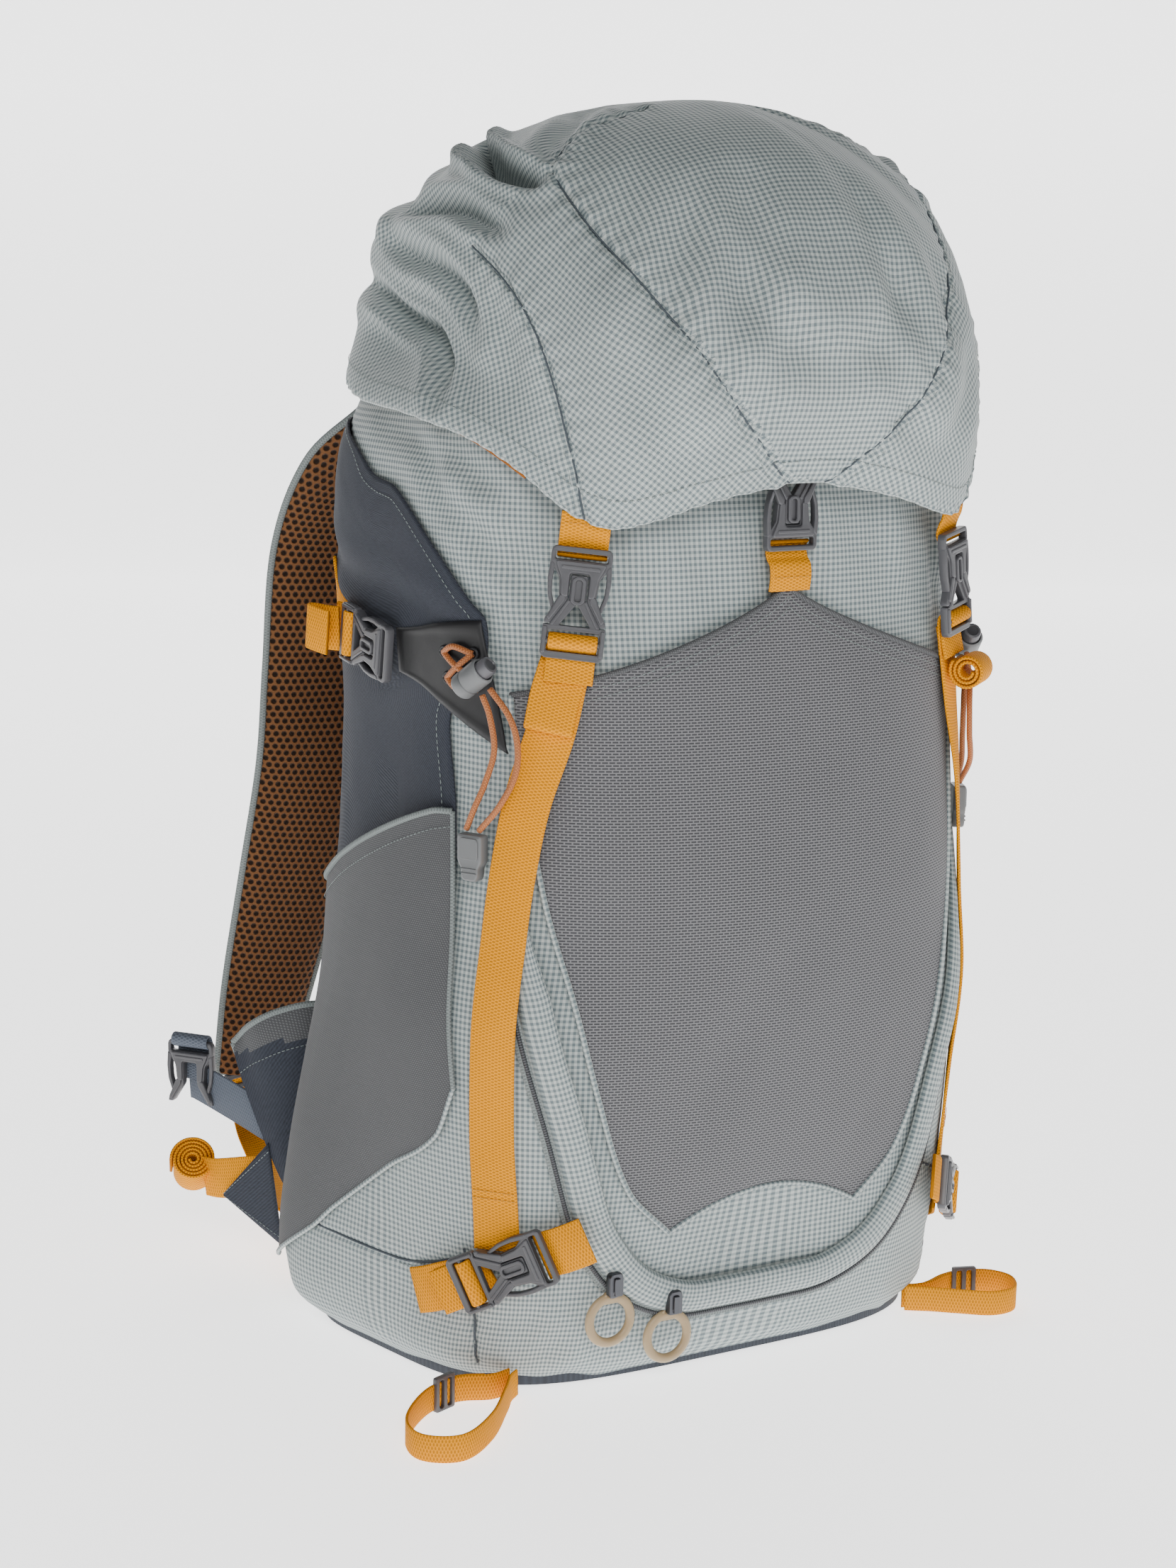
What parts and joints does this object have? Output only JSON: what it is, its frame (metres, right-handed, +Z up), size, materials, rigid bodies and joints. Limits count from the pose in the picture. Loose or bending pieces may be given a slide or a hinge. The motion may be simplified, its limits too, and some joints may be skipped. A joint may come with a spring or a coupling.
{
  "type": "hiking backpack",
  "caption": "Top-loading hiking backpack with a domed floating lid, stretch pockets, webbing straps with side-release buckles, padded harness and hip belt.",
  "frame": {"origin": "centre of the flat underside of the base panel, on the bag's plane of symmetry", "axes": "+Z up to the lid, -Y towards the front pocket, +Y towards the wearer's back, +X to the right as seen from the front"},
  "size_m": [0.4176, 0.4186, 0.665],
  "materials": {
    "check_fabric": "woven nylon in a small grey-green check",
    "grey_stretch_mesh": "knitted stretch mesh",
    "slate_twill": "heavier twill",
    "yellow_webbing": "ribbed polyester webbing",
    "grey_acetal": "moulded acetal, satin",
    "light_grey_plastic": "moulded, fine texture",
    "black_rubber": "coated reinforcing fabric",
    "sheet_plastic": "extruded sheet",
    "brown_spacer_mesh": "knitted spacer mesh over foam",
    "shock_cord": "braided cover over elastic",
    "beige_plastic": "moulded ring",
    "dark_zinc": "die-cast zinc, dark plated"
  },
  "bodies": {
    "pack": {"back_panel": "brown_spacer_mesh", "base_panel": "slate_twill", "cord_end_left": "light_grey_plastic", "cord_end_right": "light_grey_plastic", "cord_lock_left": "light_grey_plastic", "cord_lock_right": "light_grey_plastic", "frame_sheet": "sheet_plastic", "front_buckle_socket": "grey_acetal", "front_pocket": "grey_stretch_mesh", "haul_loop": "slate_twill", "lid_strap_left": "yellow_webbing", "lid_strap_right": "yellow_webbing", "lower_buckle_socket_left": "grey_acetal", "lower_buckle_socket_right": "grey_acetal", "lower_strap_left": "yellow_webbing", "lower_strap_right": "yellow_webbing", "main_bag": "check_fabric", "shock_cord_front_left": "shock_cord", "shock_cord_front_right": "shock_cord", "shock_cord_rear_left": "shock_cord", "shock_cord_rear_right": "shock_cord", "shoulder_strap_left": "brown_spacer_mesh", "shoulder_strap_right": "brown_spacer_mesh", "side_buckle_socket_left": "grey_acetal", "side_buckle_socket_right": "grey_acetal", "side_pocket_left": "grey_stretch_mesh", "side_pocket_right": "grey_stretch_mesh", "side_strap_left": "yellow_webbing", "side_strap_right": "yellow_webbing", "side_tab_left": "black_rubber", "side_tab_right": "black_rubber", "tool_loop_left": "yellow_webbing", "tool_loop_right": "yellow_webbing", "tool_loop_slider_left": "grey_acetal", "tool_loop_slider_right": "grey_acetal", "top_strap": "yellow_webbing"},
    "lid": {"lid": "check_fabric", "lid_buckle_socket_left": "grey_acetal", "lid_buckle_socket_right": "grey_acetal"},
    "lid_plug_left": {"lid_buckle_plug_left": "grey_acetal"},
    "lid_plug_right": {"lid_buckle_plug_right": "grey_acetal"},
    "front_plug": {"front_buckle_plug": "grey_acetal"},
    "side_plug_left": {"side_buckle_plug_left": "grey_acetal"},
    "side_plug_right": {"side_buckle_plug_right": "grey_acetal"},
    "lower_plug_left": {"lower_buckle_plug_left": "grey_acetal"},
    "lower_plug_right": {"lower_buckle_plug_right": "grey_acetal"},
    "lock_button_left": {"cord_lock_button_left": "light_grey_plastic"},
    "lock_button_right": {"cord_lock_button_right": "light_grey_plastic"},
    "zip_slider_left": {"zip_slider_left": "dark_zinc"},
    "zip_slider_right": {"zip_slider_right": "dark_zinc"},
    "zip_pull_left": {"zip_pull_left": "beige_plastic"},
    "zip_pull_right": {"zip_pull_right": "beige_plastic"},
    "hip_left": {"hip_wing_left": "slate_twill", "hip_strap_left": "yellow_webbing", "hip_buckle_socket": "grey_acetal"},
    "hip_right": {"hip_wing_right": "slate_twill", "hip_strap_right": "yellow_webbing", "hip_buckle_plug": "grey_acetal"},
    "sternum_left": {"sternum_strap_left": "slate_twill"},
    "sternum_right": {"sternum_strap_right": "slate_twill"}
  },
  "joints": [
    {"name": "lid_hinge", "type": "hinge", "parent": "pack", "child": "lid", "pos_m": [0, 0.118, 0.53], "axis": [-1, 0, 0], "range_deg": [0, 95]},
    {"name": "lid_buckle_left", "type": "slide", "parent": "pack", "child": "lid_plug_left", "axis": [-0.1075, 0.0218, -0.994], "range_m": [0, 0.016]},
    {"name": "side_buckle_left", "type": "slide", "parent": "pack", "child": "side_plug_left", "axis": [-0.0015, 0.9901, 0.1403], "range_m": [0, 0.016]},
    {"name": "lower_buckle_left", "type": "slide", "parent": "pack", "child": "lower_plug_left", "axis": [-0.6227, 0.6594, -0.4213], "range_m": [0, 0.016]},
    {"name": "cord_lock_press_left", "type": "slide", "parent": "pack", "child": "lock_button_left", "axis": [-0.3292, 0.7383, -0.5887], "range_m": [0, 0.004], "stiffness_N_per_m": 300},
    {"name": "lid_buckle_right", "type": "slide", "parent": "pack", "child": "lid_plug_right", "axis": [0.1075, 0.0218, -0.994], "range_m": [0, 0.016]},
    {"name": "side_buckle_right", "type": "slide", "parent": "pack", "child": "side_plug_right", "axis": [0.0015, 0.9901, 0.1403], "range_m": [0, 0.016]},
    {"name": "lower_buckle_right", "type": "slide", "parent": "pack", "child": "lower_plug_right", "axis": [0.6227, 0.6594, -0.4213], "range_m": [0, 0.016]},
    {"name": "cord_lock_press_right", "type": "slide", "parent": "pack", "child": "lock_button_right", "axis": [0.3292, 0.7383, -0.5887], "range_m": [0, 0.004], "stiffness_N_per_m": 300},
    {"name": "front_buckle", "type": "slide", "parent": "pack", "child": "front_plug", "axis": [0, 0, 1], "range_m": [0, 0.016]},
    {"name": "zip_run_left", "type": "slide", "parent": "pack", "child": "zip_slider_left", "axis": [-0.6, 0, 0.8], "range_m": [0, 0.012]},
    {"name": "zip_run_right", "type": "slide", "parent": "pack", "child": "zip_slider_right", "axis": [1, 0, 0], "range_m": [0, 0.05]},
    {"name": "zip_pull_swing_left", "type": "hinge", "parent": "zip_slider_left", "child": "zip_pull_left", "pos_m": [-0.088, -0.11633, 0.0577], "axis": [-1, 0, 0], "range_deg": [0, 80]},
    {"name": "zip_pull_swing_right", "type": "hinge", "parent": "zip_slider_right", "child": "zip_pull_right", "pos_m": [-0.052, -0.11468, 0.0417], "axis": [-1, 0, 0], "range_deg": [0, 80]},
    {"name": "hip_wing_left", "type": "hinge", "parent": "pack", "child": "hip_left", "pos_m": [-0.124, 0.1195, 0.1], "axis": [0, 0, 1], "range_deg": [-10, 12]},
    {"name": "hip_wing_right", "type": "hinge", "parent": "pack", "child": "hip_right", "pos_m": [0.124, 0.1195, 0.1], "axis": [0, 0, 1], "range_deg": [-12, 10]},
    {"name": "sternum_height", "type": "slide", "parent": "pack", "child": "sternum_left", "axis": [0, 0, 1], "range_m": [-0.018, 0.025]},
    {"name": "sternum_buckle", "type": "slide", "parent": "sternum_left", "child": "sternum_right", "axis": [1, 0, 0], "range_m": [0, 0.02]}
  ]
}
